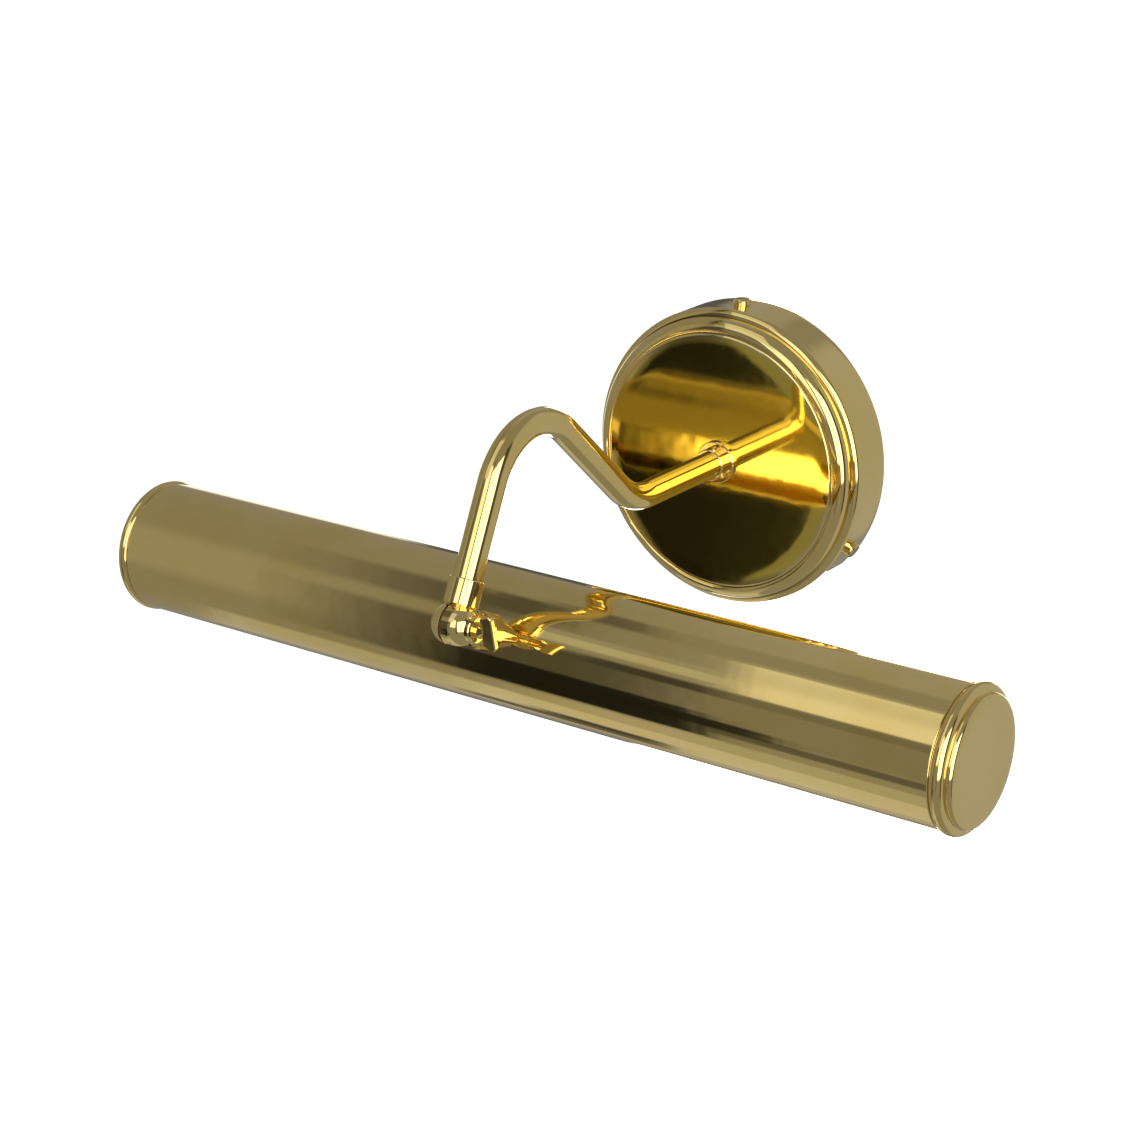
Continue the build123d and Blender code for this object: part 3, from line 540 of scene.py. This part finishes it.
def shade_tube():
    """Long tube with its light slot, one skin thickened inwards."""
    built = bmesh.new()
    steps = 360
    stations = [-TUBE_HALF, -TUBE_HALF + 0.4, -SLOT_HALF_LENGTH]
    stations += [-SLOT_HALF_LENGTH + 2 * SLOT_HALF_LENGTH * k / 24 for k in range(1, 24)]
    stations += [SLOT_HALF_LENGTH, TUBE_HALF - 0.4, TUBE_HALF]
    grid = []
    for x in stations:
        ring = []
        for k in range(steps):
            angle = 2 * math.pi * k / steps
            y = SHADE_Y + SHADE_R * math.cos(angle)
            z = SHADE_Z + SHADE_R * math.sin(angle)
            ring.append(built.verts.new((x, y, z)))
        grid.append(ring)
    for here, there, x in zip(grid, grid[1:], stations):
        in_slot = -SLOT_HALF_LENGTH <= x < SLOT_HALF_LENGTH
        for k in range(steps):
            if in_slot and SLOT_FROM <= k < SLOT_TO:
                continue
            j = (k + 1) % steps
            built.faces.new((here[k], here[j], there[j], there[k]))
    loose = [v for v in built.verts if not v.link_faces]
    bmesh.ops.delete(built, geom=loose, context="VERTS")
    tube = new_object("shade_tube_skin", built)
    thick = tube.modifiers.new("wall", "SOLIDIFY")
    thick.thickness = SKIN * MM
    thick.offset = -1
    thick.use_even_offset = True
    return finish_piece(tube, "shade", "polished_brass", SHADE_BRASS, "shade_tube")


def end_cap(side):
    """Pressed cap: groove, large bead, step, small bead and a flat face, with its spigot."""
    seam = TUBE_HALF
    face = SHADE_END
    step_r = SHADE_R - 2.1
    face_r = SHADE_R - 3.4
    spigot_r = SHADE_R - SKIN - 0.05
    spigot_start = seam - 8
    wall = 1.0
    outline = [(spigot_r - 1, spigot_start), (spigot_r, spigot_start), (spigot_r, seam + 0.15)]
    outline += [(SHADE_R - 0.75, seam + 0.3), (SHADE_R - 0.1, seam + 0.35)]
    outline += arc((SHADE_R + 0.05, seam + 0.5), (step_r + 0.35, seam + 4.75), -1.52, steps=22)
    outline += [(step_r, seam + 4.85)]
    outline += arc((step_r - 0.02, seam + 5.0), (face_r, face), -0.45, steps=14)[1:]
    outline += [(face_r * k / 7, face) for k in range(6, -1, -1)]
    outline += [(0, face - wall), (face_r - 0.8, face - wall), (step_r - 1.4, face - 2.4)]
    outline += [(spigot_r - 1, seam + 1.4)]
    place = frame_at((0, SHADE_Y, SHADE_Z), (side, 0, 0), Vector((0, 0, 1)))
    name = "end_cap_right" if side > 0 else "end_cap_left"
    cap = turned(name + "_skin", outline, place)
    return finish_piece(cap, "shade", "polished_brass", SMALL_BRASS, name)


def filament(side):
    """Lamp's filament: fine wire that runs up and down inside the glass in four rows."""
    low, high = node_span("lamp_glass_right" if side > 0 else "lamp_glass_left")
    near, far = 9, 14  # gaps from the ends of the glass
    inner, outer = (low.x + near, high.x - far) if side > 0 else (high.x - near, low.x + far)
    rows = 4
    spread = 3.4
    turn_r = 1.2
    wire_r = 0.35
    loops = []
    for k in range(rows):
        angle = math.pi / 4 + k * math.pi / 2
        y = SHADE_Y + spread * math.cos(angle)
        z = SHADE_Z + spread * math.sin(angle)
        start, end = (inner, outer) if k % 2 == 0 else (outer, inner)
        loops += [Vector((start, y, z)), Vector((end, y, z))]
    route = bent_route(loops, [turn_r] * (len(loops) - 2), step=math.radians(15))
    curve = bpy.data.curves.new("filament", "CURVE")
    curve.dimensions = "3D"
    line = curve.splines.new("POLY")
    line.points.add(len(route) - 1)
    for point, place in zip(line.points, route):
        point.co = (*(place * MM), 1)
    curve.bevel_depth = wire_r * MM
    curve.bevel_resolution = 3
    curve.use_fill_caps = True
    name = "filament_right" if side > 0 else "filament_left"
    wire = bpy.data.objects.new(name, curve)
    bpy.context.scene.collection.objects.link(wire)
    return finish_piece(wire, "shade", "lamp_cap_metal", WIRE)


# ---- stage, light and camera ---------------------------------------------------------


def heading(azimuth, elevation):
    """Unit vector: azimuth 0 points to -Y, into the room, and 90 to +X."""
    a, e = math.radians(azimuth), math.radians(elevation)
    return Vector((math.sin(a) * math.cos(e), -math.cos(a) * math.cos(e), math.sin(e)))


def panel_mask(nodes, direction, azimuth, elevation, width, height, soft):
    """1 inside a soft-edged rectangle of sky, in degrees, and 0 outside it."""
    centre = heading(azimuth, elevation)
    right = centre.cross(Vector((0, 0, 1))).normalized()
    up = right.cross(centre)
    depth = nodes.dot(direction, centre)
    mask = nodes.smooth(depth, 0.0, 0.02)
    safe = nodes.math("MAXIMUM", depth, 0.05)
    for axis, half in ((right, width / 2), (up, height / 2)):
        offset = nodes.math("ABSOLUTE", nodes.math("DIVIDE", nodes.dot(direction, axis), safe))
        outer = math.tan(math.radians(min(half + soft / 2, 80)))
        inner = math.tan(math.radians(max(half - soft / 2, 0)))
        within = nodes.math("SUBTRACT", 1.0, nodes.smooth(offset, inner, outer))
        mask = nodes.math("MULTIPLY", mask, within)
    return mask


# studio surroundings, in degrees: azimuth, elevation, width, height, softness, brightness
SKY_BASE = 0.27
BACKDROP = 1.0  # the plain white that the camera sees behind the light
PANELS = (
    (-148, -10, 68, 24, 8, 1.10),  # white sweep behind, on the left
    (135, -5, 80, 110, 12, 0.42),  # soft wall behind, on the right
    (1, 26, 32, 40, 5, 1.40),  # soft box in front
    (52, 12, 50, 56, 4, 2.90),  # tall soft box on the right
    (46, 10, 5, 80, 4, 0.40),  # the post between its halves
    (22, 10, 7, 80, 3, 0.10),  # dark gap beside it
    (88, 5, 18, 80, 5, 0.08),  # dark edge on its other side
)
# cards and flags that the shade mirrors as bands along its length. Each row is the reach of
# the direction's x, its reach round the shade's line in degrees (0 into the room, 90 up, 180
# into the wall, -90 down), the softness of both, and the brightness
CARDS = (
    ((-0.652, -0.25), (-119, -71), 0.012, 9, 0.44),  # table
    ((-0.570, -0.25), (-106, -71), 0.020, 5, 0.56),
    ((-0.550, -0.25), (-71, -50), 0.050, 4, 0.42),  # its front edge
    ((-0.570, -0.50), (-112, -101), 0.015, 6, 0.13),  # small things on the table
    ((-0.545, -0.50), (-103, -93), 0.015, 6, 0.06),
    ((-0.800, -0.625), (-20, 50), 0.060, 25, 0.34),  # paler room on the left
    ((-0.612, -0.500), (-52, 28), 0.070, 12, 0.08),  # dark middle of the room
    ((-0.610, -0.550), (50, 90), 0.070, 14, 0.10),
    ((-0.580, -0.487), (-51, -12), 0.016, 4, 0.013),  # black flag
    ((-0.485, -0.25), (-51, -40), 0.012, 4, 0.29),
    ((-0.492, -0.25), (-40, -29), 0.012, 4, 0.12),
    ((-0.492, -0.25), (-27, 18), 0.012, 5, 0.23),
    ((-0.500, -0.466), (-32, -19), 0.010, 4, 0.02),
    ((-0.535, -0.488), (18, 29), 0.010, 4, 0.05),  # upper rim of the dark middle
    ((-0.488, -0.25), (18, 29), 0.010, 4, 0.18),
    ((-0.560, -0.488), (37, 50), 0.014, 5, 0.46),  # pale strip under the bright card
    ((-0.560, -0.488), (50, 57), 0.014, 5, 0.32),
    ((-0.572, -0.545), (66, 98), 0.016, 9, 0.08),
    ((-0.545, -0.515), (86, 107), 0.020, 8, 0.11),
    ((-0.483, -0.05), (31, 80), 0.006, 3, 0.82),  # bright card overhead
    ((-0.483, -0.05), (54, 79), 0.006, 18, 0.68),
    ((-0.500, -0.20), (108, 170), 0.100, 8, 0.34),  # pale ceiling behind it
    ((-0.600, -0.512), (172, 226), 0.020, 8, 0.10),  # dark side of the wall
    ((-0.510, -0.30), (170, 227), 0.008, 5, 4.50),  # bright window beside it
)
CARD_SEAM = 50  # the reach round the shade is measured from this angle, half a turn each way


def add_cards(nodes, direction, level):
    """Paints the long cards over the brightness of the surroundings."""
    turn = math.radians(CARD_SEAM)
    forward = nodes.dot(direction, (0, -math.cos(turn), math.sin(turn)))
    upward = nodes.dot(direction, (0, math.sin(turn), math.cos(turn)))
    angle = nodes.math("MULTIPLY", nodes.math("ARCTAN2", upward, forward), math.degrees(1))
    around = nodes.math("ADD", angle, CARD_SEAM)
    across = nodes.dot(direction, (1, 0, 0))
    for reach_across, reach_around, soft_across, soft_around, brightness in CARDS:
        along = nodes.inside(across, *reach_across, soft_across)
        about = nodes.inside(around, *reach_around, soft_around)
        level = nodes.blend(level, brightness, nodes.math("MULTIPLY", along, about))
    return level


def surroundings():
    """Plain white backdrop for the camera, and soft panels and cards for the brass to mirror."""
    world = bpy.data.worlds.new("studio")
    bpy.context.scene.world = world
    world.use_nodes = True
    nodes = Nodes(world.node_tree)
    direction = nodes.add("ShaderNodeTexCoord").outputs["Generated"]
    level = nodes.add("ShaderNodeValue").outputs[0]
    level.default_value = SKY_BASE
    for *shape, brightness in PANELS:
        mask = panel_mask(nodes, direction, *shape)
        level = nodes.blend(level, brightness, mask)
    level = add_cards(nodes, direction, level)
    seen = nodes.add("ShaderNodeLightPath").outputs["Is Camera Ray"]
    level = nodes.blend(level, BACKDROP, seen)
    background = nodes.add("ShaderNodeBackground")
    combine = nodes.add("ShaderNodeCombineColor")
    for channel in range(3):
        nodes.join(level, combine.inputs[channel])
    nodes.join(combine.outputs[0], background.inputs["Color"])
    output = nodes.add("ShaderNodeOutputWorld")
    nodes.join(background.outputs[0], output.inputs["Surface"])


def floor():
    """Plain pale floor, well below the light."""
    built = bmesh.new()
    corners = [(-1, -1), (1, -1), (1, 1), (-1, 1)]
    reach = FLOOR_HALF
    built.faces.new([built.verts.new((x * reach, y * reach, FLOOR_LEVEL)) for x, y in corners])
    plane = new_object("floor", built)
    material, nodes, shader, place = new_material("floor_pale")
    cloud = nodes.noise(place, 2, detail=3)
    tint = nodes.mix(cloud, (0.93, 0.93, 0.93, 1), (0.90, 0.90, 0.90, 1))
    nodes.join(tint, shader.inputs["Base Color"])
    shader.inputs["Roughness"].default_value = 0.9
    shader.inputs["Emission Color"].default_value = (1, 1, 1, 1)
    shader.inputs["Emission Strength"].default_value = 0.72
    paint(plane, material)
    plane.visible_glossy = False


CAMERA_PLACE = (487.5, -800.7, 290.6)
CAMERA_AZIMUTH, CAMERA_ELEVATION, CAMERA_ROLL = 35.7, 20.0, -0.1
CAMERA_LENS, CAMERA_SENSOR = 80.83, 36.0


def camera():
    """Camera above and to the right of the light, looking down on it at 20 degrees."""
    data = bpy.data.cameras.new("camera")
    data.lens = CAMERA_LENS
    data.sensor_width = CAMERA_SENSOR
    holder = bpy.data.objects.new("camera", data)
    bpy.context.scene.collection.objects.link(holder)
    back = heading(CAMERA_AZIMUTH, CAMERA_ELEVATION)
    right = Vector((0, 0, 1)).cross(back).normalized()
    up = back.cross(right)
    turn = Matrix((right, up, back)).transposed().to_4x4()
    place = Matrix.Translation(Vector(CAMERA_PLACE) * MM)
    holder.matrix_world = place @ turn @ Matrix.Rotation(math.radians(CAMERA_ROLL), 4, "Z")
    bpy.context.scene.camera = holder


camera()
surroundings()
floor()
smooth_cad_nodes()
wall_cup()
arm()
shade_tube()
for side in (-1, 1):
    end_cap(side)
    filament(side)
bpy.context.scene.view_settings.view_transform = "Standard"
